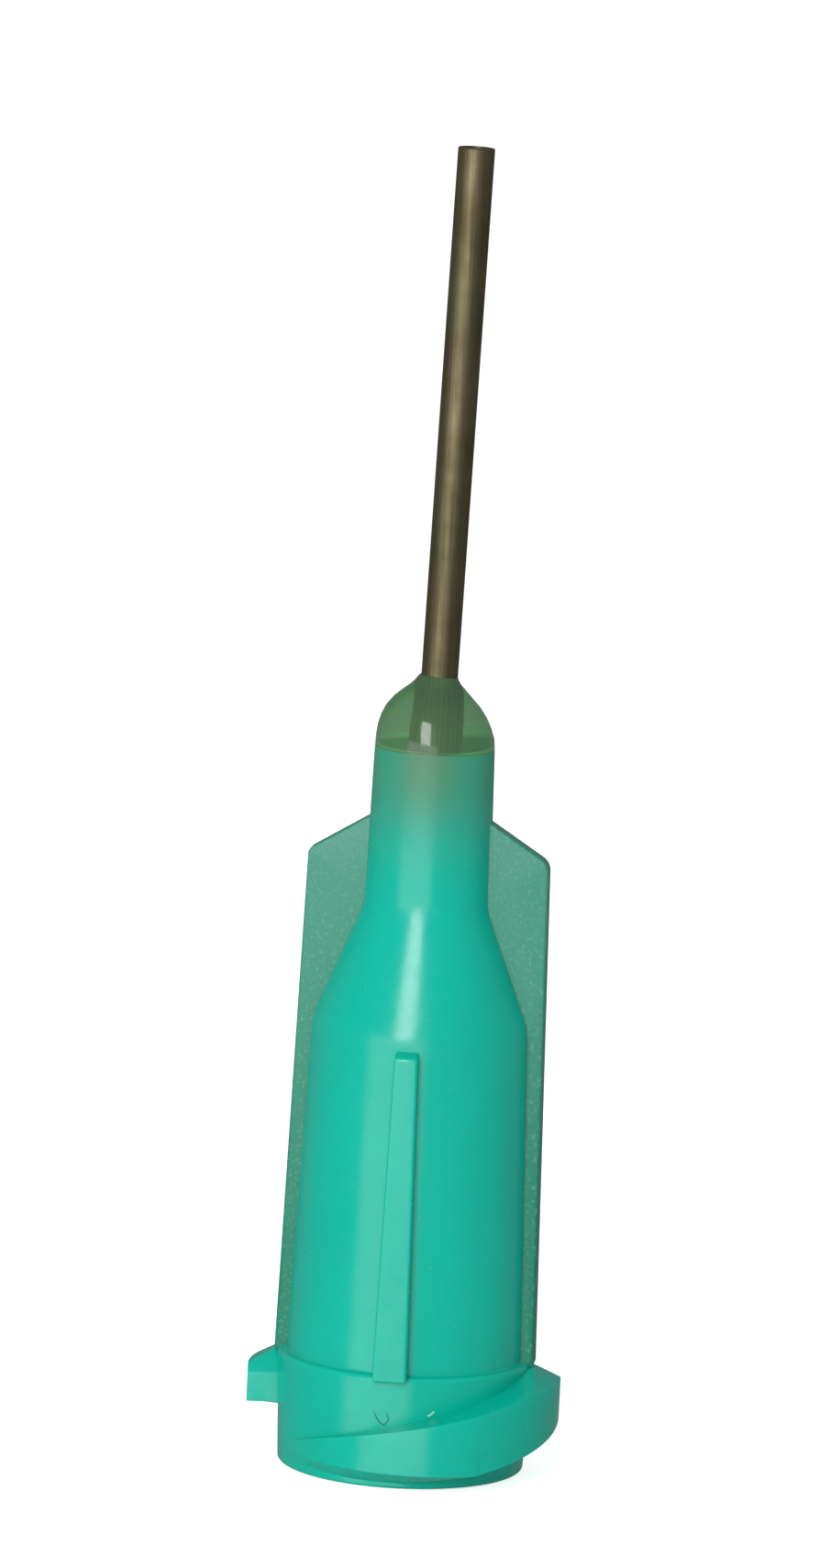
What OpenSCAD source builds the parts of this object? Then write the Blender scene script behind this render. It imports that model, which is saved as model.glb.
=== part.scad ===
// Dispensing needle tip: a moulded luer-lock hub, a blunt steel cannula and the bead of adhesive
// that holds it. It stands on the rim of its mouth, needle up. The origin is the centre of that rim,
// +X runs through the wings and all sizes are in millimetres.

/* [Mouth and collar] */
// Outside diameter of the wall at the mouth
mouth_d = 6.16; // [5.6:0.02:6.6]
// Outside diameter at the top of the collar
collar_d = 6.34; // [5.9:0.02:6.8]
// Height of the collar, from the mouth to the ledge above the thread
collar_h = 2.82; // [2.4:0.02:4]
// Radius of the rounded outer edge of the mouth
mouth_edge = 0.3; // [0.1:0.02:0.4]
// Radius of the rounded outer edge of the collar's ledge
collar_edge = 0.12; // [0.05:0.01:0.2]

/* [Thread] */
// Diameter over the thread's crests
crest_d = 7.8; // [7.2:0.02:8.6]
// Distance that one turn of a start climbs
thread_lead = 5; // [4:0.1:6]
// Number of starts, evenly spaced
thread_starts = 2; // [1:1:3]
// Width of a crest, measured along the axis
crest_w = 1.5; // [0.8:0.02:1.8]
// Height of a crest's lower edge where it crosses the middle of the right wing
crest_low = 1.26; // [0.9:0.02:1.6]
// Angle past the wings at which each start ends
thread_run_out = 10; // [2:1:20]
// Angle that each start covers before it ends
thread_sweep = 196; // [150:2:240]
// Height of the bevel that leads the thread in at the mouth
lead_in = 0.5; // [0.2:0.02:0.8]
// Height of the cone that closes the thread at the top
thread_cone_h = 0.41; // [0.2:0.01:0.8]
// Height of the bevel on each start's end
end_bevel = 0.6; // [0.2:0.01:0.8]
// Slope of the bevel on each start's end
end_bevel_slope = 50; // [30:1:70]
// Radius of the rounded lower edge of a crest
crest_edge = 0.2; // [0.05:0.01:0.3]

/* [Body] */
// Outside diameter of the body just above the collar
body_d_low = 5.9; // [5.4:0.02:6.1]
// Outside diameter of the body at its shoulder
body_d_high = 5.4; // [5.2:0.02:5.7]
// Height at which the body turns in towards the neck
shoulder_z = 11.2; // [9:0.1:14]
// Radius of the rounded shoulder
shoulder_round = 1.6; // [0.5:0.1:2]
// Height of the cone between shoulder and neck
cone_h = 2.9; // [2:0.1:4]
// Radius of the hollow curve where the cone meets the neck
neck_round = 1.8; // [0.5:0.1:2.5]

/* [Neck] */
// Diameter of the neck at its foot
neck_d_low = 3.12; // [2.8:0.02:3.6]
// Diameter of the neck at its flat end
neck_d_high = 2.96; // [2.7:0.02:3.2]
// Length of the neck above the cone
neck_h = 3.95; // [3:0.05:6]

/* [Wings and ribs] */
// Distance over the wings at the foot of the body
wing_span_low = 6.48; // [6.3:0.02:8]
// Distance over the wings at the top
wing_span_high = 5.98; // [5:0.02:7]
// Thickness of a wing at its foot
wing_t_low = 0.85; // [0.5:0.05:1.2]
// Thickness of a wing at the top
wing_t_high = 0.55; // [0.4:0.05:1]
// Height of the wings' outer corners above the foot of the neck
wing_corner_rise = 1.23; // [-2.1:0.01:2.9]
// Slope of the wing's top edge, rising to the neck
wing_slope = 32; // [10:1:45]
// Radius of the wing's outer top corner
wing_corner_round = 0.3; // [0.1:0.05:0.8]
// Distance over the front and back ribs at their foot
rib_span_low = 6.7; // [6.4:0.02:7.2]
// Distance over the front and back ribs at the top
rib_span_high = 6.08; // [5.8:0.02:6.6]
// Depth of the ribs' outer corners below the shoulder
rib_top_drop = 0.45; // [0.2:0.05:4.2]
// Slope of the rib's top face, rising to the body
rib_slope = 18; // [0:1:45]
// Width of a rib at its foot
rib_w_low = 0.85; // [0.5:0.05:1.2]
// Width of a rib at the top
rib_w_high = 0.55; // [0.4:0.05:1]
// How far the wings and ribs reach down over the collar's ledge
foot_lap = 0.12; // [0.05:0.01:0.3]

/* [Socket] */
// Diameter of the tapered socket at the mouth
socket_mouth_d = 4.3; // [4.2:0.01:4.4]
// Change of the socket's diameter for each millimetre of depth
socket_taper = 0.06; // [0.04:0.01:0.08]
// Depth of the tapered socket
socket_depth = 8; // [7.5:0.1:9]
// Wall left between the funnel and the outside of the shoulder
funnel_wall = 0.9; // [0.6:0.05:1.2]
// Length of the solid seat between the funnel and the neck's end
seat_h = 4; // [2.5:0.1:5]

/* [Cannula] */
// Outside diameter of the steel tube
cannula_od = 0.908; // [0.4:0.001:1.3]
// Bore of the steel tube
cannula_id = 0.603; // [0.2:0.001:0.84]
// Length that stands out of the adhesive
cannula_exposed = 13; // [6:0.1:40]
// Radius of the deburred outer edge at both ends
cannula_edge = 0.05; // [0.01:0.01:0.1]
// Angle by which the cannula leans towards the right wing
cannula_lean = 1.2; // [0:0.1:1.5]
// Gap round the cannula in its seat, which the adhesive fills
seat_clearance = 0.13; // [0.1:0.01:0.2]
// How far the tube's lower end stays above the funnel
cannula_lift = 0.4; // [0.1:0.1:1.5]

/* [Adhesive] */
// Diameter of the well in the neck's end
well_d = 2; // [1.7:0.05:2.2]
// Depth of the well
well_h = 1.2; // [0.5:0.1:1.5]
// Radius of the bead's rounded side
bead_round = 1.4; // [0.8:0.05:1.6]
// Slope of the bead's flank up to the cannula
bead_slope = 45; // [30:1:55]
// Radius of the hollow curve where the bead climbs the cannula
meniscus_round = 0.6; // [0.2:0.05:1]
// Thickness of the bead's upper edge on the cannula
meniscus_lip = 0.06; // [0.05:0.01:0.15]

/* [Hidden] */
$fn = 96;

// Overlap that makes a union sound, and the reach of a cut past a surface
lap = 0.2;
arc_steps = 8;
thread_steps = 72;
// How far the thread's closing cone starts below the collar's ledge
cone_drop = 0.08;
// How far a start's section reaches into the wall, and past the crest that cuts it off
sweep_root = 0.4;
sweep_over = 0.3;
// The socket's roof: height of its lead-in cone, draft above it, and depth below the shoulder
funnel_lead = 0.4;
funnel_draft = 0.05;
funnel_roof = 0.5;
// Steps that keep two faces or two arcs from meeting exactly
hair = 0.001;
step_in = 0.02;
// How far above the cannula's lower end the adhesive begins
adhesive_start = 0.5;
// Height above the neck's end of the point that the lean turns about
lean_rise = 0.3;

body_r_high = body_d_high / 2;
neck_r_low = neck_d_low / 2;
neck_r_high = neck_d_high / 2;
crest_r = crest_d / 2;
neck_z = shoulder_z + cone_h;
wing_corner_z = neck_z + wing_corner_rise;
rib_top_z = shoulder_z - rib_top_drop;
nose_z = neck_z + neck_h;
seat_z = nose_z - seat_h;
socket_top_r = (socket_mouth_d - socket_taper * socket_depth) / 2;
seat_r = cannula_od / 2 + seat_clearance;
cannula_low_z = seat_z + cannula_lift;
// The lean turns about a point a little above the middle of the seat's mouth
lean_z = nose_z + lean_rise;
bead_side_h = bead_round * tan(bead_slope / 2);
bead_peak_z = nose_z + bead_side_h
    + (neck_r_high - cannula_od / 2 - meniscus_lip) * tan(bead_slope);
bead_top_z = bead_peak_z + meniscus_round * tan((90 - bead_slope) / 2);
tip_z = bead_top_z + cannula_exposed;

// Points of the arc that rounds corner q, between its neighbours p and s, with radius f
function rounded_corner(p, q, s, f) =
    let (
        u = (p - q) / norm(p - q),
        v = (s - q) / norm(s - q),
        half = acos(u * v) / 2,
        centre = q + (u + v) / norm(u + v) * f / sin(half),
        from = q + u * f / tan(half) - centre,
        to = q + v * f / tan(half) - centre,
        start = atan2(from.y, from.x),
        turn = atan2(from.x * to.y - from.y * to.x, from * to)
    )
    [for (i = [0 : arc_steps])
        centre + f * [cos(start + turn * i / arc_steps), sin(start + turn * i / arc_steps)]];

// An outline from corners [x, y, radius], each rounded unless its radius is 0
function outline(corners) =
    let (n = len(corners), flat = [for (c = corners) [c.x, c.y]])
    [for (i = [0 : n - 1])
        each corners[i].z > 0
            ? rounded_corner(flat[(i + n - 1) % n], flat[i], flat[(i + 1) % n], corners[i].z)
            : [flat[i]]];

// Radius of the body's drafted side at height z
function body_r(z) =
    let (t = (z - collar_h) / (shoulder_z - collar_h))
    (body_d_low * (1 - t) + body_d_high * t) / 2;

module turned(corners) {
    rotate_extrude() polygon(outline(corners));
}

// The outside of the hub: collar, drafted body, shoulder, cone and neck
module hub_blank() {
    turned([
        [0, 0, 0],
        [mouth_d / 2, 0, mouth_edge],
        [collar_d / 2, collar_h, collar_edge],
        [body_r(collar_h), collar_h, 0],
        [body_r_high, shoulder_z, shoulder_round],
        [neck_r_low, neck_z, neck_round],
        [neck_r_high, nose_z, 0],
        [0, nose_z, 0],
    ]);
}

// The tapered socket, the funnel above it, the cannula's seat and the adhesive well
module hub_hollow() {
    funnel_r = body_r_high - funnel_wall;
    turned([
        [0, -lap, 0],
        [socket_mouth_d / 2 + socket_taper * lap / 2, -lap, 0],
        [socket_top_r, socket_depth, 0],
        [funnel_r, socket_depth + funnel_lead, 0],
        [funnel_r - funnel_draft, shoulder_z - funnel_roof, 0],
        [seat_r, seat_z, 0],
        [0, seat_z, 0],
    ]);
    translate([0, 0, seat_z - lap]) cylinder(r = seat_r, h = nose_z - seat_z + 2 * lap);
    adhesive_well(lap);
}

// The well widens a little towards the neck's end; extra carries it past that end
module adhesive_well(extra) {
    growth = (well_d / 2 - seat_r) / well_h;
    translate([0, 0, nose_z - well_h])
        cylinder(r1 = seat_r, r2 = well_d / 2 + growth * extra, h = well_h + extra);
}

// The space that holds the thread: crest cylinder, lead-in bevel below and closing cone above
module thread_envelope() {
    inner_r = mouth_d / 2 - sweep_root - lap / 2;
    bevel_start = mouth_edge / 3;
    cone_z = collar_h - cone_drop;
    turned([
        [inner_r, bevel_start, 0],
        [mouth_d / 2 - bevel_start, bevel_start, 0],
        [crest_r, lead_in, 0],
        [crest_r, cone_z - thread_cone_h, 0],
        [collar_d / 2 - step_in, cone_z, 0],
        [inner_r, cone_z, 0],
    ]);
}

// Height of the bevel on a start's end, where the section at angle a crosses it
function bevel_z(a) =
    let (run = crest_r * (thread_run_out - a) * PI / 180)
    collar_h - cone_drop - end_bevel + run * tan(end_bevel_slope);

// One start's section at angle a: a flat top, a flat underside and a rounded lower edge
function thread_section(a) =
    let (
        low = crest_low + thread_lead * a / 360,
        high = min(low + crest_w, bevel_z(a)),
        inner = mouth_d / 2 - sweep_root,
        outer = crest_r + sweep_over
    )
    [
        [inner, low],
        [crest_r - crest_edge, low],
        [crest_r - 0.3 * crest_edge, low + 0.3 * crest_edge],
        [crest_r + 0.4 * crest_edge, low + 1.7 * crest_edge],
        [outer, high - step_in],
        [inner, high + 3 * step_in],
    ];

// One start, swept along its helix and closed by a section at each end
module thread_sweep_solid() {
    sides = len(thread_section(0));
    first = thread_run_out - thread_sweep;
    points = [for (i = [0 : thread_steps])
        let (a = first + thread_sweep * i / thread_steps)
        for (p = thread_section(a)) [p.x * cos(a), p.x * sin(a), p.y]];
    walls = [for (i = [0 : thread_steps - 1])
        for (j = [0 : sides - 1])
            let (k = i * sides, m = (j + 1) % sides)
            each [[k + j, k + m, k + sides + m], [k + j, k + sides + m, k + sides + j]]];
    last = thread_steps * sides;
    caps = [
        [for (j = [sides - 1 : -1 : 0]) j],
        [for (j = [0 : sides - 1]) last + j],
    ];
    polyhedron(points, concat(walls, caps), convexity = 6);
}

module thread() {
    for (k = [0 : thread_starts - 1])
        rotate([0, 0, 360 * k / thread_starts])
            intersection() {
                thread_sweep_solid();
                thread_envelope();
            }
}

// A pair of flat fins across the axis, from their foot to a sloping top. The faces draw in upwards.
module fin_pair(span_low, span_high, t_low, t_high, corner_z, slope, corner_round) {
    foot_z = collar_h - foot_lap;
    rise = span_high / 2 * tan(slope);
    top_z = corner_z + rise;
    intersection() {
        rotate([90, 0, 0]) linear_extrude(t_low + lap, center = true)
            polygon(outline([
                [span_low / 2, foot_z, 0],
                [span_high / 2, corner_z, corner_round],
                [0, top_z, 0],
                [-span_high / 2, corner_z, corner_round],
                [-span_low / 2, foot_z, 0],
            ]));
        rotate([90, 0, 90]) linear_extrude(span_low + lap, center = true)
            polygon([
                [t_low / 2, foot_z],
                [t_high / 2, top_z],
                [-t_high / 2, top_z],
                [-t_low / 2, foot_z],
            ]);
    }
}

module wings() {
    fin_pair(wing_span_low, wing_span_high, wing_t_low, wing_t_high,
        wing_corner_z, wing_slope, wing_corner_round);
}

module ribs() {
    rotate([0, 0, 90])
        fin_pair(rib_span_low, rib_span_high, rib_w_low, rib_w_high, rib_top_z, rib_slope, 0);
}

module hub() {
    color([0.08, 0.66, 0.56]) difference() {
        union() {
            hub_blank();
            thread();
            wings();
            ribs();
        }
        hub_hollow();
    }
}

// Places what is drawn about the tube's own axis, with its lower end at the origin
module along_cannula() {
    translate([0, 0, lean_z]) rotate([0, cannula_lean, 0])
        translate([0, 0, cannula_low_z - lean_z]) children();
}

module cannula() {
    length = tip_z - cannula_low_z;
    color([0.42, 0.4, 0.33]) along_cannula() turned([
        [cannula_id / 2, 0, 0],
        [cannula_od / 2, 0, cannula_edge],
        [cannula_od / 2, length, cannula_edge],
        [cannula_id / 2, length, 0],
    ]);
}

// The bead: a dome on the neck's end that climbs the cannula, and the plug in the well and the seat
module adhesive() {
    edge_r = cannula_od / 2 + meniscus_lip;
    color([0.5, 0.72, 0.5, 0.6]) difference() {
        union() {
            turned([
                [0, nose_z, 0],
                [neck_r_high, nose_z, 0],
                [neck_r_high, nose_z + bead_side_h, bead_round * (1 - hair)],
                [edge_r, bead_peak_z, meniscus_round],
                [edge_r, bead_top_z + hair, 0],
                [0, bead_top_z + hair, 0],
            ]);
            adhesive_well(0);
            translate([0, 0, cannula_low_z + adhesive_start])
                cylinder(r = seat_r, h = nose_z - cannula_low_z - adhesive_start);
        }
        along_cannula() translate([0, 0, -lap]) cylinder(r = cannula_od / 2, h = tip_z);
    }
}

hub();
cannula();
adhesive();
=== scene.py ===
"""Looks of a dispensing needle tip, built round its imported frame.

The hub is one moulding of translucent polypropylene, the tube is drawn steel and the bead that
holds it is clear adhesive. Sizes are in millimetres and go to metres as a piece is made.
"""

import logging
import math
from dataclasses import dataclass, field
from enum import Enum

import bmesh
import bpy
from mathutils import Matrix, Vector

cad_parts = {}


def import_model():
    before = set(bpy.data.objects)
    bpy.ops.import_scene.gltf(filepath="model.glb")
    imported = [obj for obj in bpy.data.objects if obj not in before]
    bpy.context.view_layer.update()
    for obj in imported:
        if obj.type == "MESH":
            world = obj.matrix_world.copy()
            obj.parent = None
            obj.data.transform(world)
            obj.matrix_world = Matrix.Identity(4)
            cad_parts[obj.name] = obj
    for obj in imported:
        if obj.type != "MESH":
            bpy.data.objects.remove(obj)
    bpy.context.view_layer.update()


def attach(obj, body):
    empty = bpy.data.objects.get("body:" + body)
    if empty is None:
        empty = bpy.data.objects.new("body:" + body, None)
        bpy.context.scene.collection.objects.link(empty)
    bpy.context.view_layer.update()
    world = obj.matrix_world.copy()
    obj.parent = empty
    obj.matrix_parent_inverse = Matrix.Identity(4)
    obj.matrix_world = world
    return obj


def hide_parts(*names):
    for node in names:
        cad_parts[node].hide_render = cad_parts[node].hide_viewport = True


MM = 0.001
# Side of the tiny plane that a drawn line starts from, in metres
SEED = 0.0001
# Height of the finished picture in pixels
PICTURE_HEIGHT = 1710
WHITE = (1.0, 1.0, 1.0, 1.0)
PALE = (0.9, 0.9, 0.9, 1.0)
# How polypropylene bends light, and how far red, green and blue travel in it
POLYPROPYLENE_IOR = 1.49
POLYPROPYLENE_SCATTER = (0.3, 1.0, 0.8)
LOG = logging.getLogger("needle_tip")

Corner = tuple[float, float, float]
Point2 = tuple[float, float]


class Side(Enum):
    """The two sides of the hub that each carry a wing."""

    LEFT = -1
    RIGHT = 1


class Slot(Enum):
    """Places of the materials in the hub's list."""

    BODY = 0
    WING = 1


def linear(hex_colour: str) -> tuple[float, float, float, float]:
    """Turns an sRGB hex colour to the linear values that shaders use.

    Args:
        hex_colour: Six hex digits after a hash sign.

    Returns:
        Linear red, green, blue and an alpha of 1.
    """
    values = [int(hex_colour[i : i + 2], 16) / 255 for i in (1, 3, 5)]
    curve = [v / 12.92 if v <= 0.04045 else ((v + 0.055) / 1.055) ** 2.4 for v in values]
    return (*curve, 1.0)


def per_metre(size_mm: float) -> float:
    """Returns the scale that makes a pattern repeat once in size_mm."""
    return 1.0 / (size_mm * MM)


def filleted(corners: list[Corner], closed: bool = True, arc_steps: int = 10) -> list[Point2]:
    """Rounds the corners of an outline.

    Args:
        corners: Each corner as x, y and its radius, where 0 keeps it sharp.
        closed: Whether the last corner joins the first.
        arc_steps: Number of chords in each arc.

    Returns:
        The outline's points in order.
    """
    points: list[Point2] = []
    count = len(corners)
    for i, (x, y, radius) in enumerate(corners):
        ends = not closed and i in (0, count - 1)
        if radius <= 0 or ends:
            points.append((x, y))
            continue
        here = Vector((x, y))
        back = (Vector(corners[i - 1][:2]) - here).normalized()
        ahead = (Vector(corners[(i + 1) % count][:2]) - here).normalized()
        half = back.angle(ahead) / 2
        centre = here + (back + ahead).normalized() * radius / math.sin(half)
        start = here + back * radius / math.tan(half) - centre
        finish = here + ahead * radius / math.tan(half) - centre
        first = math.atan2(start.y, start.x)
        turn = math.atan2(start.x * finish.y - start.y * finish.x, start.dot(finish))
        for step in range(arc_steps + 1):
            angle = first + turn * step / arc_steps
            x, y = radius * math.cos(angle), radius * math.sin(angle)
            points.append((centre.x + x, centre.y + y))
    return points


# ---------------------------------------------------------------- bench work


def deselect_all() -> None:
    """Leaves nothing selected and no object in edit mode."""
    if bpy.context.object and bpy.context.object.mode != "OBJECT":
        bpy.ops.object.mode_set(mode="OBJECT")
    bpy.ops.object.select_all(action="DESELECT")


def take(piece: bpy.types.Object) -> None:
    """Makes one object the selected and active one."""
    deselect_all()
    piece.select_set(True)
    bpy.context.view_layer.objects.active = piece


def edit(piece: bpy.types.Object) -> None:
    """Opens a piece in edit mode with all of it selected."""
    take(piece)
    bpy.ops.object.mode_set(mode="EDIT")
    bpy.ops.mesh.select_mode(type="VERT")
    bpy.ops.mesh.select_all(action="SELECT")


def close_edit() -> None:
    """Returns to object mode."""
    bpy.ops.object.mode_set(mode="OBJECT")


def strung(name: str, points: list[Vector], closed: bool = False) -> bpy.types.Object:
    """Draws a line by extruding one vertex from point to point.

    Args:
        name: Name of the new object.
        points: The line's points, in metres.
        closed: Whether to fill the line with a face.

    Returns:
        The new object, at the origin.
    """
    deselect_all()
    bpy.ops.mesh.primitive_plane_add(size=SEED, location=points[0])
    piece = bpy.context.object
    piece.name = piece.data.name = name
    edit(piece)
    bpy.ops.mesh.merge(type="CENTER")
    for before, after in zip(points, points[1:]):
        bpy.ops.mesh.extrude_region_move(TRANSFORM_OT_translate={"value": after - before})
    if closed:
        bpy.ops.mesh.select_all(action="SELECT")
        bpy.ops.mesh.edge_face_add()
    close_edit()
    bpy.ops.object.transform_apply(location=True, rotation=True, scale=True)
    return piece


def trace(name: str, outline: list[Point2], closed: bool, upright: bool = True) -> bpy.types.Object:
    """Draws a flat outline.

    Args:
        name: Name of the new object.
        outline: Points in millimetres.
        closed: Whether to fill the outline with a face.
        upright: True draws in X and Z, False in Y and Z.

    Returns:
        The new object, at the origin.
    """
    points = [
        Vector((across, 0, high) if upright else (0, across, high)) * MM
        for across, high in outline
    ]
    return strung(name, points, closed)


def spun(name: str, outline: list[Point2], steps: int) -> bpy.types.Object:
    """Turns an outline about the axis into a closed solid.

    Args:
        name: Name of the new object.
        outline: Radius and height of each point; both ends lie on the axis, or they meet.
        steps: Number of segments in the turn.

    Returns:
        The turned object, closed and with its normals outward.
    """
    piece = trace(name, outline, closed=False)
    edit(piece)
    bpy.ops.mesh.spin(steps=steps, angle=2 * math.pi, center=(0, 0, 0), axis=(0, 0, 1))
    close_edit()
    tidy(piece)
    return piece


def tidy(piece: bpy.types.Object, merge_mm: float = 0.0005) -> None:
    """Merges doubles and points the faces outwards.

    Args:
        piece: The mesh object.
        merge_mm: Vertices nearer than this become one.
    """
    edit(piece)
    bpy.ops.mesh.remove_doubles(threshold=merge_mm * MM)
    bpy.ops.mesh.dissolve_degenerate(threshold=merge_mm * MM / 5)
    bpy.ops.mesh.select_all(action="SELECT")
    bpy.ops.mesh.normals_make_consistent(inside=False)
    close_edit()


def combine(piece: bpy.types.Object, other: bpy.types.Object, how: str) -> None:
    """Joins, cuts or keeps the common part of two solids, and removes the second.

    Args:
        piece: The solid that stays.
        other: The solid that is used up.
        how: UNION, DIFFERENCE or INTERSECT.
    """
    take(piece)
    boolean = piece.modifiers.new("boolean", "BOOLEAN")
    boolean.operation = how
    boolean.solver = "EXACT"
    boolean.object = other
    bpy.ops.object.modifier_apply(modifier=boolean.name)
    bpy.data.objects.remove(other, do_unlink=True)


def soften(piece: bpy.types.Object, width_mm: float, segments: int, angle: float) -> None:
    """Rounds a piece's sharp edges.

    Args:
        piece: The mesh object.
        width_mm: Width of the rounding.
        segments: Number of faces across it.
        angle: Edges that turn by more than this, in degrees, are rounded.
    """
    take(piece)
    bevel = piece.modifiers.new("bevel", "BEVEL")
    bevel.width = width_mm * MM
    bevel.segments = segments
    bevel.limit_method = "ANGLE"
    bevel.angle_limit = math.radians(angle)
    bevel.use_clamp_overlap = True
    bevel.miter_outer = "MITER_ARC"
    bpy.ops.object.modifier_apply(modifier=bevel.name)


def smooth(piece: bpy.types.Object, angle: float) -> None:
    """Shades a piece smooth, apart from edges that turn by more than angle degrees."""
    take(piece)
    bpy.ops.object.shade_smooth_by_angle(angle=math.radians(angle))


def copied(piece: bpy.types.Object, name: str) -> bpy.types.Object:
    """Returns a copy of a piece with a mesh of its own."""
    twin = piece.copy()
    twin.data = piece.data.copy()
    twin.name = twin.data.name = name
    bpy.context.collection.objects.link(twin)
    return twin


def turned_about_axis(piece: bpy.types.Object, angle: float) -> None:
    """Turns a piece about the Z axis by angle degrees, into its mesh."""
    take(piece)
    piece.rotation_euler = (0, 0, math.radians(angle))
    bpy.ops.object.transform_apply(location=True, rotation=True, scale=True)


def cap_holes(piece: bpy.types.Object) -> None:
    """Closes each open loop of a piece with a face and points its faces outwards."""
    mesh = bmesh.new()
    mesh.from_mesh(piece.data)
    bmesh.ops.holes_fill(mesh, edges=[e for e in mesh.edges if e.is_boundary], sides=0)
    bmesh.ops.recalc_face_normals(mesh, faces=mesh.faces[:])
    mesh.to_mesh(piece.data)
    mesh.free()


def kept_within(value: float, low: float = 0.0, high: float = 1.0) -> float:
    """Returns a value held between two limits."""
    return max(low, min(high, value))


# ---------------------------------------------------------------- finishes


class Recipe:
    """The node tree of a material or of the world, built one node at a time."""

    def __init__(
        self,
        owner: bpy.types.Material | bpy.types.World,
        output: str = "ShaderNodeOutputMaterial",
    ) -> None:
        """Starts an empty tree with an output.

        Args:
            owner: The material or world that the tree belongs to.
            output: Type of the output node.
        """
        owner.use_nodes = True
        self.owner = owner
        self.nodes = owner.node_tree.nodes
        self.links = owner.node_tree.links
        self.nodes.clear()
        self.output = self.add(output)

    def add(self, kind: str, settings: dict | None = None, **inputs: object) -> bpy.types.Node:
        """Adds a node with its settings and links.

        Args:
            kind: The node's type.
            settings: Attributes to set on the node.
            **inputs: Values or sockets by input name, with underscores for spaces; a name
                that is "in" and a number is an input's number.

        Returns:
            The new node.
        """
        node = self.nodes.new(kind)
        for key, value in (settings or {}).items():
            setattr(node, key, value)
        for key, value in inputs.items():
            numbered = key.startswith("in") and key[2:].isdigit()
            socket = node.inputs[int(key[2:]) if numbered else key.replace("_", " ")]
            if isinstance(value, bpy.types.NodeSocket):
                self.links.new(value, socket)
            else:
                socket.default_value = value
        return node

    def place(self) -> bpy.types.NodeSocket:
        """Returns the place on the object, in metres."""
        return self.add("ShaderNodeTexCoord").outputs["Object"]

    def noise(
        self, place: bpy.types.NodeSocket, size_mm: float, detail: float, **more: object
    ) -> bpy.types.NodeSocket:
        """Returns a noise from 0 to 1.

        Args:
            place: Where the noise is read.
            size_mm: Size of its largest blots.
            detail: Number of finer layers.
            **more: Other inputs of the noise.
        """
        scale = per_metre(size_mm)
        node = self.add("ShaderNodeTexNoise", Vector=place, Scale=scale, Detail=detail, **more)
        return node.outputs[0]

    def ranged(
        self,
        value: bpy.types.NodeSocket,
        source: tuple[float, float],
        target: tuple[float, float],
        eased: bool = False,
    ) -> bpy.types.NodeSocket:
        """Returns a value carried from one range to another.

        Args:
            value: The value.
            source: The range it comes from.
            target: The range it goes to.
            eased: Whether it starts and ends gently.
        """
        node = self.add(
            "ShaderNodeMapRange",
            {"interpolation_type": "SMOOTHSTEP" if eased else "LINEAR"},
            in0=value,
            in1=source[0],
            in2=source[1],
            in3=target[0],
            in4=target[1],
        )
        return node.outputs[0]

    def mixed(
        self, share: bpy.types.NodeSocket, first: object, second: object
    ) -> bpy.types.NodeSocket:
        """Returns a colour between two, each a socket or a hex colour.

        Args:
            share: Share of the second.
            first: The colour where share is 0.
            second: The colour where share is 1.
        """
        ends = [linear(end) if isinstance(end, str) else end for end in (first, second)]
        node = self.add(
            "ShaderNodeMix", {"data_type": "RGBA"}, in0=share, in6=ends[0], in7=ends[1]
        )
        return node.outputs[2]

    def calculated(self, operation: str, *values: object) -> bpy.types.NodeSocket:
        """Returns the result of a math node's operation on up to three values."""
        inputs = {f"in{i}": value for i, value in enumerate(values)}
        return self.add("ShaderNodeMath", {"operation": operation}, **inputs).outputs[0]

    def bump(
        self, height: bpy.types.NodeSocket, strength: float, depth_mm: float
    ) -> bpy.types.NodeSocket:
        """Returns the normals of an uneven skin.

        Args:
            height: The unevenness.
            strength: Share of it that shows.
            depth_mm: Its depth.
        """
        node = self.add("ShaderNodeBump", Height=height, Strength=strength, Distance=depth_mm * MM)
        return node.outputs[0]

    def finished(self, shader: str, **inputs: object) -> bpy.types.Material | bpy.types.World:
        """Adds the last shader, joins it to the output and returns the tree's owner."""
        self.links.new(self.add(shader, **inputs).outputs[0], self.output.inputs[0])
        return self.owner


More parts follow.
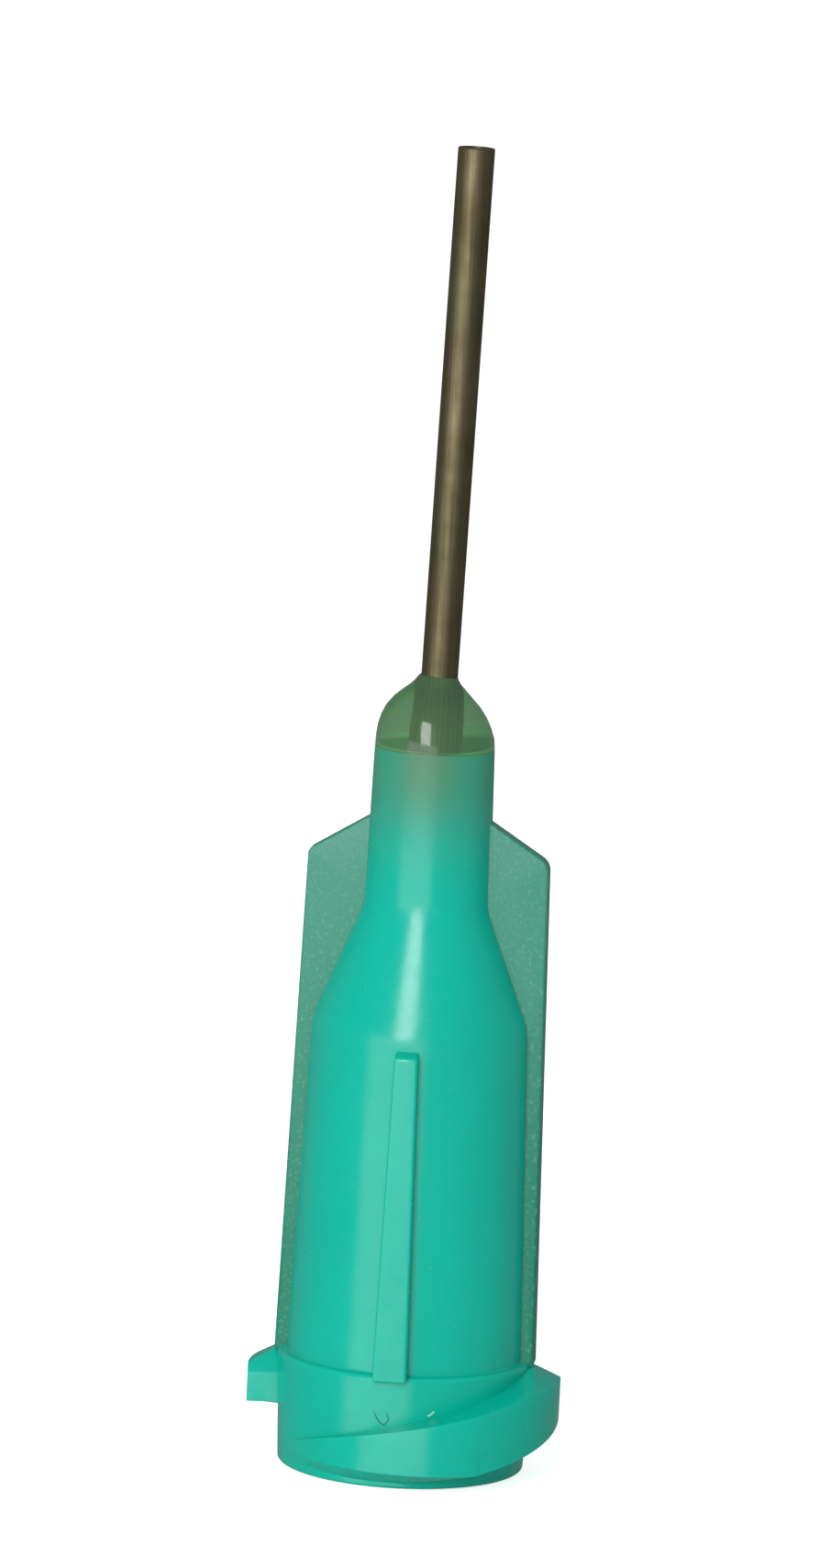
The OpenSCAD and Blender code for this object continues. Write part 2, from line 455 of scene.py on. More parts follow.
@dataclass(frozen=True)
class MouldedPolypropylene:
    """Pigmented polypropylene, injection moulded in a polished tool.

    It lets some light in, so its shadows stay saturated, and its skin is glossy with a faint
    waviness from the tool.

    Attributes:
        frost_span: Heights between which the thin-walled neck turns pale.
        shade_span: Heights between which a painted shade of the tube inside comes to show.
        shade_across: Distances from the middle between which that painted shade fades.
    """

    colour: str = "#00bda6"
    deep_colour: str = "#00ab93"
    frost_colour: str = "#3c987a"
    # Colour of the painted shade where the tube inside darkens the neck
    painted_tube_shade: str = "#558563"
    roughness: float = 0.22
    flow_mm: float = 3.2
    wave_mm: float = 1.4
    skin_mm: float = 0.35
    frost_span: tuple[float, float] = (14.6 * MM, 17.5 * MM)
    frost_most: float = 0.9
    frost_dulls: float = 0.25
    shade_span: tuple[float, float] = (15.9 * MM, 18.2 * MM)
    shade_across: tuple[float, float] = (0.15 * MM, 1.1 * MM)
    shade_most: float = 0.85

    def material(self) -> bpy.types.Material:
        """Returns the material with its skin, frosted neck and a painted soft shade of the tube."""
        made = Recipe(bpy.data.materials.new("moulded_polypropylene_glossy"))
        place = made.place()
        across, _, high = made.add("ShaderNodeSeparateXYZ", in0=place).outputs
        # Flow of the melt: broad and faint differences of pigment
        flow = made.ranged(made.noise(place, self.flow_mm, 3.0), (0.35, 0.75), (0.0, 0.35))
        body = made.mixed(flow, self.colour, self.deep_colour)
        frost = made.ranged(high, self.frost_span, (0.0, self.frost_most), eased=True)
        neck = made.mixed(frost, body, self.frost_colour)
        # Painted shade of the tube inside the neck: the neck's middle turns olive grey, most near
        # the axis
        off_axis = made.calculated("ABSOLUTE", across)
        near_axis = made.ranged(off_axis, self.shade_across, (1.0, 0.0), eased=True)
        inside = made.ranged(high, self.shade_span, (0.0, self.shade_most), eased=True)
        shade = made.calculated("MULTIPLY", near_axis, inside)
        gloss = made.ranged(
            made.noise(place, self.skin_mm, 4.0),
            (0.3, 0.7),
            (self.roughness - 0.04, self.roughness + 0.06),
        )
        return made.finished(
            "ShaderNodeBsdfPrincipled",
            Base_Color=made.mixed(shade, neck, self.painted_tube_shade),
            Roughness=made.calculated("MULTIPLY_ADD", frost, self.frost_dulls, gloss),
            Normal=made.bump(made.noise(place, self.wave_mm, 1.5), 0.25, 0.02),
            IOR=POLYPROPYLENE_IOR,
            Subsurface_Weight=0.2,
            Subsurface_Radius=POLYPROPYLENE_SCATTER,
            Subsurface_Scale=0.6 * MM,
        )


@dataclass(frozen=True)
class FrostedWing:
    """The same polypropylene in thin wings, whose tool face was left dull.

    The dull skin scatters light, so the wings look greyer than the body, with fine pale specks.

    Attributes:
        grey_span: Heights between which the wings turn greyer.
    """

    colour: str = "#38937c"
    low_colour: str = "#00856a"
    speck_colour: str = "#7cb8a3"
    roughness: float = 0.42
    speck_mm: float = 0.1
    speck_most: float = 0.6
    grey_span: tuple[float, float] = (4.0 * MM, 15.5 * MM)

    def material(self) -> bpy.types.Material:
        """Returns the material with its specks and dull skin."""
        made = Recipe(bpy.data.materials.new("moulded_polypropylene_dull"))
        place = made.place()
        high = made.add("ShaderNodeSeparateXYZ", in0=place).outputs[2]
        fade = made.ranged(high, self.grey_span, (0.0, 1.0), eased=True)
        base = made.mixed(fade, self.low_colour, self.colour)
        grain = made.noise(place, self.speck_mm, 3.0, Roughness=0.7)
        specks = made.ranged(grain, (0.52, 0.75), (0.0, self.speck_most))
        rough = (self.roughness - 0.08, self.roughness + 0.1)
        return made.finished(
            "ShaderNodeBsdfPrincipled",
            Base_Color=made.mixed(specks, base, self.speck_colour),
            Roughness=made.ranged(grain, (0.3, 0.7), rough),
            Normal=made.bump(grain, 0.35, 0.012),
            IOR=POLYPROPYLENE_IOR,
            Subsurface_Weight=0.15,
            Subsurface_Radius=POLYPROPYLENE_SCATTER,
            Subsurface_Scale=0.4 * MM,
        )


@dataclass(frozen=True)
class DrawnSteel:
    """Stainless tube, drawn and left as drawn.

    The die leaves fine streaks along the tube, and the dull oxide gives it an olive-brown cast.

    Attributes:
        stretch: Scale of the streaks across and along the tube.
    """

    light: str = "#877f62"
    dark: str = "#6c644a"
    roughness: float = 0.6
    streak_mm: float = 0.05
    stain_mm: float = 1.1
    stretch: tuple[float, float, float] = (1.0, 1.0, 0.02)

    def material(self) -> bpy.types.Material:
        """Returns the material with its streaks along the tube."""
        made = Recipe(bpy.data.materials.new("drawn_stainless_steel"))
        place = made.place()
        drawn = made.add(
            "ShaderNodeMapping", {"vector_type": "POINT"}, Vector=place, Scale=self.stretch
        )
        streak = made.noise(drawn.outputs[0], self.streak_mm, 3.0)
        both = made.calculated("ADD", streak, made.noise(place, self.stain_mm, 4.0))
        share = made.ranged(both, (0.75, 1.3), (0.0, 1.0))
        rough = (self.roughness + 0.06, self.roughness - 0.06)
        return made.finished(
            "ShaderNodeBsdfPrincipled",
            Base_Color=made.mixed(share, self.dark, self.light),
            Roughness=made.ranged(both, (0.7, 1.3), rough),
            Normal=made.bump(streak, 0.3, 0.004),
            Metallic=1.0,
        )


@dataclass(frozen=True)
class ClearAdhesive:
    """Light-cured clear adhesive, which set as a glossy drop.

    It bends the sight of the tube inside it and has a faint green tint.
    """

    colour: str = "#aeeaaa"
    deep_colour: str = "#98dca2"
    clearness: float = 0.88
    roughness: float = 0.12
    wave_mm: float = 0.9

    def material(self) -> bpy.types.Material:
        """Returns the clear material with a faintly uneven skin."""
        made = Recipe(bpy.data.materials.new("light_cured_clear_adhesive"))
        wave = made.noise(made.place(), self.wave_mm, 2.0)
        return made.finished(
            "ShaderNodeBsdfPrincipled",
            Base_Color=made.mixed(wave, self.colour, self.deep_colour),
            Normal=made.bump(wave, 0.3, 0.03),
            Roughness=self.roughness,
            IOR=1.48,
            Transmission_Weight=self.clearness,
        )


# ---------------------------------------------------------------- pieces


@dataclass
class Thread:
    """The double-start lock thread outside the mouth.

    Attributes:
        crest_r: Radius of the crests.
        root_r: Radius of the collar at the mouth.
        lead: Rise in one turn.
        low: Height of the underside at the wing.
        width: Height of the crest.
        sweep: Angle that each start covers.
        run_out: Angle past the wing at which a start ends.
        top: Height at which the closing cone meets the collar.
        cone_h: Height of the closing cone.
        lead_in: Height at which the mouth's bevel meets the crest.
        end_bevel: Depth of a start's end bevel at the crest.
        end_slope: Tilt of that bevel, in degrees.
        edge: Rounding of the edges.
        flank_rise: Rise of the upper flank from the crest to the collar.
        fade_from: Bearing at which a start has its full height.
        fade_to: Bearing at which it has sunk into the collar.
        core_in: How far inside the mouth's radius the envelope's core lies.
        past: How far outside the crests the envelope reaches.
        foot_in: How far inside the mouth's radius the bevel starts.
        foot_h: Height at which it starts.
        ledge_out: How far outside the mouth's radius the cone ends.
        root_lap: How far a start reaches into the wall.
        skin_in: How far under the mouth's radius a faded start sinks.
        step_angle: Angle between two sections of a start.
        cut_reach: Angle back from a start's end within which the end bevel may cut.
        end_margin: Angle past a start's end that still counts as its end.
    """

    crest_r: float = 3.9
    root_r: float = 3.08
    lead: float = 5.0
    low: float = 1.26
    width: float = 1.5
    sweep: float = 196.0
    run_out: float = 10.0
    top: float = 2.74
    cone_h: float = 0.41
    lead_in: float = 0.5
    end_bevel: float = 0.6
    end_slope: float = 50.0
    edge: float = 0.12
    flank_rise: float = 0.06
    fade_from: float = -52.0
    fade_to: float = -160.0
    core_in: float = 0.5
    past: float = 0.3
    foot_in: float = 0.1
    foot_h: float = 0.1
    ledge_out: float = 0.07
    root_lap: float = 0.4
    skin_in: float = 0.02
    step_angle: float = 1.5
    cut_reach: float = 40.0
    end_margin: float = 5.0

    def envelope(self) -> bpy.types.Object:
        """Returns the turned solid that the starts are kept inside."""
        inner, outer = self.root_r - self.core_in, self.crest_r + self.past
        foot, ledge = self.root_r - self.foot_in, self.root_r + self.ledge_out
        bevel = (self.lead_in - self.foot_h) / (self.crest_r - foot)
        cone = self.cone_h / (self.crest_r - ledge)
        return spun(
            "thread_envelope",
            [
                (inner, self.foot_h),
                (foot, self.foot_h),
                (outer, self.lead_in + self.past * bevel),
                (outer, self.top - self.cone_h - self.past * cone),
                (ledge, self.top),
                (inner, self.top),
                (inner, self.foot_h),
            ],
            360,
        )

    def sweep_of_section(self) -> bpy.types.Object:
        """Returns one start, screwed round the axis from its section."""
        first = self.run_out - self.sweep
        low = self.low + self.lead * first / 360
        inner, outer = self.root_r - self.root_lap, self.crest_r
        section = filleted(
            [
                (inner, low, 0),
                (outer, low, 0),
                (outer, low + self.width, 0),
                (inner, low + self.width + self.flank_rise, 0),
            ],
            arc_steps=5,
        )
        piece = trace("thread_start", section + section[:1], closed=False)
        tidy(piece)
        take(piece)
        screw = piece.modifiers.new("screw", "SCREW")
        screw.axis = "Z"
        screw.angle = math.radians(self.sweep)
        screw.screw_offset = self.lead * self.sweep / 360 * MM
        screw.steps = screw.render_steps = int(self.sweep / self.step_angle)
        bpy.ops.object.modifier_apply(modifier=screw.name)
        cap_holes(piece)
        turned_about_axis(piece, first)
        return piece

    def bevel_end(self, piece: bpy.types.Object) -> None:
        """Cuts the slanting bevel that leads a start's end down from the collar.

        Args:
            piece: One start, closed.
        """
        angle = math.radians(self.run_out)
        ahead = Vector((-math.sin(angle), math.cos(angle), 0))
        slope = math.radians(self.end_slope)
        normal = ahead * math.sin(slope) + Vector((0, 0, math.cos(slope)))
        edge = Vector((self.crest_r * math.cos(angle), self.crest_r * math.sin(angle), 0))
        corner = (edge + Vector((0, 0, self.top - self.end_bevel))) * MM
        edit(piece)
        bpy.ops.mesh.select_all(action="DESELECT")
        mesh = bmesh.from_edit_mesh(piece.data)
        # Only the last part of the start is cut, because the plane meets the helix again
        for face in mesh.faces:
            where = face.calc_center_median()
            behind = math.degrees((angle - math.atan2(where.y, where.x)) % (2 * math.pi))
            face.select = behind < self.cut_reach or behind > 360 - self.end_margin
        mesh.select_flush(True)
        bmesh.update_edit_mesh(piece.data)
        bpy.ops.mesh.bisect(
            plane_co=corner, plane_no=normal, use_fill=False, clear_outer=True, clear_inner=False
        )
        close_edit()
        cap_holes(piece)

    def fade_in(self, piece: bpy.types.Object) -> None:
        """Draws the start's first part in to the collar, so that it grows out of the mouth.

        Args:
            piece: One start, closed.
        """
        base = self.root_r - self.skin_in
        mesh = bmesh.new()
        mesh.from_mesh(piece.data)
        for vertex in mesh.verts:
            angle = math.degrees(math.atan2(vertex.co.y, vertex.co.x))
            if angle > self.run_out + self.end_margin:
                angle -= 360
            share = kept_within((angle - self.fade_to) / (self.fade_from - self.fade_to))
            share = share * share * (3 - 2 * share)
            radius = math.hypot(vertex.co.x, vertex.co.y) / MM
            if radius > base:
                scale = (base + (radius - base) * share) / radius
                vertex.co.x *= scale
                vertex.co.y *= scale
        mesh.to_mesh(piece.data)
        mesh.free()

    def build(self) -> list[bpy.types.Object]:
        """Returns both starts as closed solids."""
        start = self.sweep_of_section()
        self.bevel_end(start)
        combine(start, self.envelope(), "INTERSECT")
        tidy(start, 0.002)
        soften(start, self.edge, segments=3, angle=35)
        self.fade_in(start)
        second = copied(start, "thread_start_2")
        turned_about_axis(second, 180)
        return [start, second]


@dataclass
class Fins:
    """A pair of flat fins across the axis, which draw in and thin upwards.

    Attributes:
        span_low: Width across both fins at the foot.
        span_high: Width across both fins at their corners.
        thick_low: Thickness at the foot.
        thick_high: Thickness at the top.
        corner: Height of the outer corners.
        slope: Angle of the sloping top, in degrees.
        rounding: Radius of the corner on each side.
        across_x: Whether the fins stand along X; otherwise along Y.
        foot: Height at which the fins start, inside the collar.
        edge: Rounding of their edges.
    """

    name: str
    span_low: float
    span_high: float
    thick_low: float
    thick_high: float
    corner: float
    slope: float
    rounding: dict[Side, float]
    across_x: bool
    foot: float = 2.7
    edge: float = 0.07

    def build(self) -> bpy.types.Object:
        """Returns the pair as one closed solid with softened edges."""
        top = self.corner + self.span_high / 2 * math.tan(math.radians(self.slope))
        outline = filleted(
            [
                (self.span_low / 2, self.foot, 0),
                (self.span_high / 2, self.corner, self.rounding[Side.RIGHT]),
                (0, top, 0),
                (-self.span_high / 2, self.corner, self.rounding[Side.LEFT]),
                (-self.span_low / 2, self.foot, 0),
            ]
        )
        piece = trace(self.name, outline, closed=True, upright=self.across_x)
        edit(piece)
        half = self.thick_low / 2 * MM
        out = Vector((0, 1, 0)) if self.across_x else Vector((1, 0, 0))
        bpy.ops.mesh.extrude_region_move(TRANSFORM_OT_translate={"value": out * half * 2})
        bpy.ops.mesh.select_all(action="SELECT")
        bpy.ops.transform.translate(value=-out * half)
        mesh = bmesh.from_edit_mesh(piece.data)
        for vertex in mesh.verts:
            share = (vertex.co.z / MM - self.foot) / (top - self.foot)
            width = self.thick_low * (1 - share) + self.thick_high * share
            aside = vertex.co.dot(out)
            vertex.co += out * (math.copysign(width / 2 * MM, aside) - aside)
        bmesh.update_edit_mesh(piece.data)
        close_edit()
        tidy(piece)
        soften(piece, self.edge, segments=3, angle=30)
        return piece


@dataclass
class Hub:
    """The moulded hub: drafted body, neck, socket, two wings, two ribs and the lock thread."""

    mouth_r: float = 3.08
    collar_r: float = 3.17
    collar_h: float = 2.82
    body_low_r: float = 2.95
    body_high_r: float = 2.7
    shoulder: float = 11.2
    neck: float = 14.1
    nose: float = 18.05
    neck_low_r: float = 1.56
    neck_high_r: float = 1.48
    mouth_in_r: float = 2.2
    core_r: float = 2.15
    socket_r: float = 1.91
    socket_h: float = 8.0
    funnel_r: float = 1.83
    funnel_h: float = 8.4
    roof_r: float = 1.78
    roof_in: float = 0.5
    seat_h: float = 4.0
    well_foot_r: float = 0.62
    well_h: float = 1.2
    steps: int = 224
    wings: Fins = field(
        default_factory=lambda: Fins(
            "wings", 6.48, 5.98, 0.85, 0.55, 15.33, 32, {Side.LEFT: 0.22, Side.RIGHT: 0.4}, True
        )
    )
    ribs: Fins = field(
        default_factory=lambda: Fins(
            "ribs", 6.7, 6.08, 0.85, 0.55, 10.75, 18, {Side.LEFT: 0.12, Side.RIGHT: 0.12}, False
        )
    )
    thread: Thread = field(default_factory=Thread)

    def outline(self) -> list[Point2]:
        """Returns the closed outline of the wall, outside and inside."""
        corners: list[Corner] = [
            (self.mouth_in_r, 0.0, 0.08),
            (self.mouth_r - 0.02, 0.0, 0.08),
            (self.collar_r, self.collar_h, 0.12),
            (self.body_low_r + 0.004, self.collar_h, 0.06),
            (self.body_high_r, self.shoulder, 1.6),
            (self.neck_low_r, self.neck, 1.8),
            (self.neck_high_r, self.nose, 0.05),
            (1.0, self.nose, 0.03),
            (self.well_foot_r, self.nose - self.well_h, 0),
            (0.584, self.nose - self.seat_h, 0.1),
            (self.roof_r, self.shoulder - self.roof_in, 0.3),
            (self.funnel_r, self.funnel_h, 0.1),
            (self.socket_r, self.socket_h, 0.05),
        ]
        return filleted(corners)

    def body(self) -> bpy.types.Object:
        """Returns the turned wall, without wings, ribs or thread."""
        outline = self.outline()
        return spun("hub", outline + outline[:1], self.steps)

    def build(self) -> bpy.types.Object:
        """Returns the whole moulding as one piece.

        The core that clears the socket lies on the turned wall, which leaves a few open edges
        inside the socket, about 8 mm up.
        """
        hub = self.body()
        finishes = (MouldedPolypropylene().material(), FrostedWing().material())
        self.dress(hub, finishes, Slot.BODY)
        solids = [(self.ribs.build(), Slot.BODY), (self.wings.build(), Slot.WING)]
        solids += [(start, Slot.BODY) for start in self.thread.build()]
        for solid, slot in solids:
            self.dress(solid, finishes, slot)
            combine(hub, solid, "UNION")
            LOG.info("hub joined: %d faces", len(hub.data.polygons))
        self.clear_socket(hub, finishes)
        LOG.info("socket cleared: %d faces", len(hub.data.polygons))
        tidy(hub, 0.001)
        smooth(hub, 28)
        return hub

    def clear_socket(
        self, hub: bpy.types.Object, finishes: tuple[bpy.types.Material, ...]
    ) -> None:
        """Cuts the hollow again where wings and ribs crossed it.

        Args:
            hub: The joined moulding.
            finishes: The hub's materials.
        """
        past = 0.5
        core = spun(
            "core",
            [
                (0, -past),
                (self.core_r, -past),
                (self.core_r, 0.0),
                (self.socket_r, self.socket_h),
                (self.funnel_r, self.funnel_h),
                (self.roof_r, self.shoulder - self.roof_in),
                (0.6, self.nose - self.seat_h),
                (self.well_foot_r, self.nose - self.well_h),
                (0.98, self.nose - 0.02),
                (1.01, self.nose + past),
                (0, self.nose + past),
            ],
            96,
        )
        self.dress(core, finishes, Slot.BODY)
        combine(hub, core, "DIFFERENCE")

    def dress(
        self, solid: bpy.types.Object, finishes: tuple[bpy.types.Material, ...], slot: Slot
    ) -> None:
        """Gives a solid the hub's list of materials and one of them on all its faces.

        Args:
            solid: The solid, before it joins the hub.
            finishes: The hub's materials, in the order of Slot.
            slot: The material that this solid takes.
        """
        for finish in finishes:
            solid.data.materials.append(finish)
        solid.data.polygons.foreach_set(
            "material_index", [slot.value] * len(solid.data.polygons)
        )


@dataclass
class Cannula:
    """The steel tube, which leans a little in the hub.

    Attributes:
        pivot: Height of the point on the axis that the lean turns about.
        lean: Angle of the lean to the right, in degrees.
    """

    outer_r: float = 0.454
    inner_r: float = 0.3015
    low: float = 14.45
    pivot: float = 18.35
    tip: float = 32.85
    lean: float = 1.2
    edge: float = 0.04
    bore_edge: float = 0.02

    def build(self) -> bpy.types.Object:
        """Returns the tube with its bore open and its ends deburred."""
        slant = math.radians(self.lean)
        length = (self.tip - self.pivot) / math.cos(slant)
        outline = filleted(
            [
                (self.inner_r, self.low - self.pivot, self.bore_edge),
                (self.outer_r, self.low - self.pivot, self.edge),
                (self.outer_r, length, self.edge),
                (self.inner_r, length, self.bore_edge),
            ],
            arc_steps=4,
        )
        tube = spun("cannula_tube", outline + outline[:1], 96)
        take(tube)
        tube.rotation_euler = (0, slant, 0)
        tube.location = (0, 0, self.pivot * MM)
        bpy.ops.object.transform_apply(location=True, rotation=True, scale=True)
        tube.data.materials.append(DrawnSteel().material())
        smooth(tube, 40)
        return tube


@dataclass
class Bead:
    """The clear adhesive: a drop on the neck that climbs the tube, with its plug in the well.

    Attributes:
        profile: Radius and height of the free surface, from the rim to the tube.
        climb: How far the drop's upper part leans to the left of the axis.
        lean_from: Height at which that lean starts.
        lean_grow: Height over which it grows.
        lean_back: Height at which it starts to shrink again.
        lean_shrink: Height over which it shrinks.
        held_r: Radius inside which the drop stays with the tube.
    """

    nose: float = 18.05
    well_r: float = 1.02
    well_h: float = 1.2
    profile: tuple[Point2, ...] = (
        (1.478, 18.0),
        (1.474, 18.12),
        (1.462, 18.3),
        (1.395, 18.58),
        (1.31, 18.8),
        (1.18, 19.03),
        (0.975, 19.27),
        (0.765, 19.47),
        (0.63, 19.59),
        (0.54, 19.7),
        (0.485, 19.8),
    )
    climb: float = 0.09
    lean_from: float = 18.25
    lean_grow: float = 0.9
    lean_back: float = 19.3
    lean_shrink: float = 0.55
    held_r: float = 0.46

    def build(self) -> bpy.types.Object:
        """Returns the drop as one closed solid."""
        outline: list[Point2] = [(0, self.nose - self.well_h), (0.7, self.nose - self.well_h)]
        outline += [(self.well_r, self.nose - 0.03), (1.47, self.nose - 0.03)]
        outline += list(self.profile)
        outline += [(0.44, 19.84), (0, 19.84)]
        drop = spun("adhesive_bead", outline, 128)
        edit(drop)
        mesh = bmesh.from_edit_mesh(drop.data)
        for vertex in mesh.verts:
            high = vertex.co.z / MM
            radius = math.hypot(vertex.co.x, vertex.co.y) / MM
            share = kept_within((high - self.lean_from) / self.lean_grow)
            share *= kept_within(1.0 - (high - self.lean_back) / self.lean_shrink)
            if radius > self.held_r:
                vertex.co.x -= self.climb * share * MM
        bmesh.update_edit_mesh(drop.data)
        close_edit()
        tidy(drop)
        drop.data.materials.append(ClearAdhesive().material())
        smooth(drop, 50)
        return drop


@dataclass
class Mark:
    """One fleck or fibre on the collar, by its bearing round the axis and its height.

    Attributes:
        name: Name of the piece.
        path: Bearing in degrees and height in millimetres of each point.
        thick: Thickness in millimetres.
        pale: Whether it is a pale scuff of the moulding; otherwise dark lint.
        skin_r: Radius of the collar's surface.
    """

    name: str
    path: tuple[Point2, ...]
    thick: float
    pale: bool
    skin_r: float = 3.12

    def finish(self) -> bpy.types.Material:
        """Returns dull lint or scuffed polypropylene, each with an uneven colour."""
        name = "scuffed_polypropylene" if self.pale else "dark_lint"
        made = Recipe(bpy.data.materials.new(name))
        grain = made.noise(made.place(), 0.08, 2.0)
        tones = ("#5cc4ae", "#93d8c6") if self.pale else ("#0d6a5c", "#2b8a78")
        return made.finished(
            "ShaderNodeBsdfPrincipled", Base_Color=made.mixed(grain, *tones), Roughness=0.6
        )

    def build(self) -> bpy.types.Object:
        """Returns the mark as a thin closed strand that lies on the collar."""
        points = []
        for bearing, high in self.path:
            angle = math.radians(bearing)
            x, y = self.skin_r * math.cos(angle), self.skin_r * math.sin(angle)
            points.append(Vector((x, y, high)) * MM)
        strung(self.name, points)
        bpy.ops.object.convert(target="CURVE")
        piece = bpy.context.object
        piece.data.bevel_depth = self.thick / 2 * MM
        piece.data.bevel_resolution = 2
        piece.data.use_fill_caps = True
        bpy.ops.object.convert(target="MESH")
        piece = bpy.context.object
        piece.name = piece.data.name = self.name
        tidy(piece, 0.0001)
        piece.data.materials.clear()
        piece.data.materials.append(self.finish())
        smooth(piece, 40)
        return piece


MARKS = (
    Mark(
        "lint_fibre",
        (
            (-97.9, 2.5),
            (-97.5, 2.2),
            (-96.4, 1.9),
            (-94.0, 1.68),
            (-91.5, 1.6),
            (-89.6, 1.74),
            (-90.4, 1.9),
            (-93.2, 2.05),
        ),
        0.035,
        False,
    ),
    Mark("scuff_low", ((-72.0, 1.86), (-70.4, 1.91), (-69.0, 1.98)), 0.09, True),
    Mark("scuff_high", ((-61.2, 2.52), (-60.4, 2.55)), 0.07, True),
)


# ---------------------------------------------------------------- studio


def towards(azimuth: float, elevation: float) -> Vector:
    """Returns the direction of a bearing from the hub's front and a height, in degrees."""
    a, e = math.radians(azimuth), math.radians(elevation)
    return Vector((math.sin(a) * math.cos(e), -math.cos(a) * math.cos(e), math.sin(e)))


@dataclass(frozen=True)
class Lamp:
    """One soft box that faces the hub.

    Attributes:
        name: Name of the lamp.
        aside: Its bearing from the camera's, in degrees.
        elevation: Its height above the horizon, in degrees.
        far: Distance in metres.
        wide: Width in metres.
        high: Height in metres.
        radiance: Brightness of its face, where 1 is white.
    """

    name: str
    aside: float
    elevation: float
    far: float
    wide: float
    high: float
    radiance: float


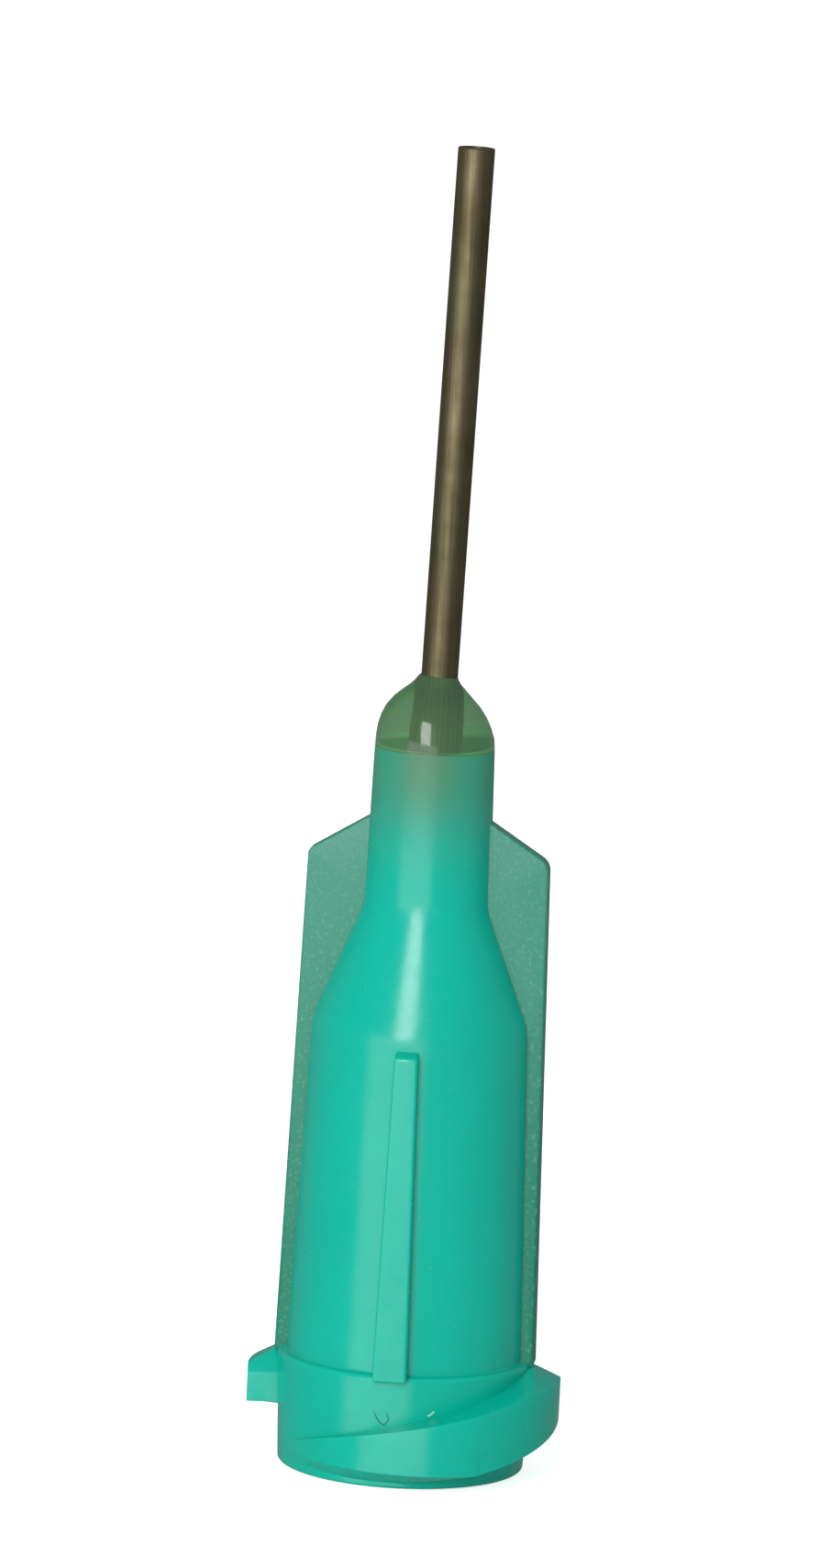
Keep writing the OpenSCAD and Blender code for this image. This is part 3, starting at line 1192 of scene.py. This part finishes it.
@dataclass
class Studio:
    """Floor, light and camera.

    Attributes:
        fill: Brightness of the room as a light.
        shine: Brightness of the room in reflections.
        glow: Brightness that the floor adds of its own.
        floor_r: Radius of the floor in metres.
        floor_drop: How far it lies under the rim, in metres.
        lamp_aim: Height that the lamps face, in metres.
    """

    azimuth: float = 6.5
    elevation: float = 8.6
    roll: float = -2.8
    distance: float = 215.0
    pixels_per_mm: float = 44.2
    aim_across: float = -0.4
    aim_up: float = 0.7
    aim_height: float = 16.4
    sensor: float = 36.0
    fill: float = 0.38
    shine: float = 0.18
    glow: float = 0.74
    floor_r: float = 6.0
    floor_drop: float = 0.00002
    lamp_aim: float = 0.012
    lamps: tuple[Lamp, ...] = (
        Lamp("key", -18, 26, 0.3, 0.1, 0.19, 8.5),
        Lamp("veil", -25, -12, 0.32, 0.37, 0.25, 2.0),
    )

    def camera(self) -> None:
        """Makes the camera and aims it."""
        data = bpy.data.cameras.new("camera")
        camera = bpy.data.objects.new("camera", data)
        bpy.context.collection.objects.link(camera)
        back = towards(self.azimuth, self.elevation)
        a, r = math.radians(self.azimuth), math.radians(self.roll)
        level = Vector((math.cos(a), math.sin(a), 0))
        upward = back.cross(level)
        right = level * math.cos(r) - upward * math.sin(r)
        above = level * math.sin(r) + upward * math.cos(r)
        aim = Vector((0, 0, self.aim_height)) + right * self.aim_across + above * self.aim_up
        turn = Matrix((right, above, back)).transposed().to_4x4()
        camera.matrix_world = Matrix.Translation((aim + back * self.distance) * MM) @ turn
        data.sensor_width = self.sensor
        data.lens = self.pixels_per_mm * self.distance / PICTURE_HEIGHT * self.sensor
        data.clip_start, data.clip_end = 0.005, 20.0
        bpy.context.scene.camera = camera

    def hang(self, box: Lamp) -> None:
        """Hangs one soft box."""
        data = bpy.data.lights.new(box.name, "AREA")
        data.shape = "RECTANGLE"
        data.size, data.size_y = box.wide, box.high
        data.energy = box.radiance * math.pi * box.wide * box.high
        lamp = bpy.data.objects.new(box.name, data)
        bpy.context.collection.objects.link(lamp)
        away = towards(self.azimuth + box.aside, box.elevation)
        lamp.location = Vector((0, 0, self.lamp_aim)) + away * box.far
        lamp.rotation_mode = "QUATERNION"
        lamp.rotation_quaternion = away.to_track_quat("Z", "Y")
        lamp.visible_camera = False

    def world(self) -> None:
        """Makes the room: white to the eye and through the clear drop, dimmer as a light."""
        world = bpy.data.worlds.new("studio")
        bpy.context.scene.world = world
        made = Recipe(world, "ShaderNodeOutputWorld")
        rays = made.add("ShaderNodeLightPath").outputs
        seen = made.calculated("MAXIMUM", rays["Is Camera Ray"], rays["Is Transmission Ray"])
        less = self.shine - self.fill
        light = made.calculated("MULTIPLY_ADD", rays["Is Glossy Ray"], less, self.fill)
        level = made.calculated("MAXIMUM", seen, light)
        made.finished("ShaderNodeBackground", Color=WHITE, Strength=level)

    def floor(self) -> None:
        """Lays the pale floor, which keeps the hub's soft shadow and is hidden from reflections."""
        deselect_all()
        bpy.ops.mesh.primitive_circle_add(vertices=96, radius=self.floor_r, fill_type="NGON")
        floor = bpy.context.object
        floor.name = floor.data.name = "floor"
        floor.location.z = -self.floor_drop
        made = Recipe(bpy.data.materials.new("pale_floor"))
        matt = made.add("ShaderNodeBsdfDiffuse", Color=PALE).outputs[0]
        glow = made.add("ShaderNodeEmission", Color=WHITE, Strength=self.glow).outputs[0]
        dim = made.add("ShaderNodeEmission", Color=WHITE, Strength=self.shine).outputs[0]
        pale = made.add("ShaderNodeAddShader", in0=matt, in1=glow).outputs[0]
        rays = made.add("ShaderNodeLightPath").outputs
        # Rays through the rough bead count as glossy too, and they do meet the floor
        seen = made.add("ShaderNodeMixShader", in0=rays["Is Glossy Ray"], in1=pale, in2=dim)
        material = made.finished(
            "ShaderNodeMixShader", in0=rays["Is Diffuse Ray"], in1=seen.outputs[0], in2=matt
        )
        floor.data.materials.append(material)
        floor.visible_glossy = False

    def build(self) -> None:
        """Sets up the whole studio."""
        view = bpy.context.scene.view_settings
        view.view_transform = "Standard"
        self.camera()
        self.world()
        self.floor()
        for box in self.lamps:
            self.hang(box)


def report(piece: bpy.types.Object) -> None:
    """Logs a piece's size and face count."""
    size = [round(v / MM, 2) for v in piece.dimensions]
    LOG.info("%s: %s mm, %d faces", piece.name, size, len(piece.data.polygons))


def main() -> None:
    """Builds the pieces in order and stands them in for the plain nodes."""
    logging.basicConfig(level=logging.INFO, format="%(name)s: %(message)s")
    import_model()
    Studio().build()
    pieces = (
        (Hub().build(), "hub", "hub"),
        (Cannula().build(), "cannula", "cannula"),
        (Bead().build(), "adhesive", "adhesive"),
    )
    for piece, node, slot in pieces:
        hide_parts(node)
        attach(piece, "root")
        report(piece)
    for mark in MARKS:
        piece = mark.build()
        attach(piece, "root")
        report(piece)
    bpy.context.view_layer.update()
    deselect_all()


if __name__ == "__main__":
    main()
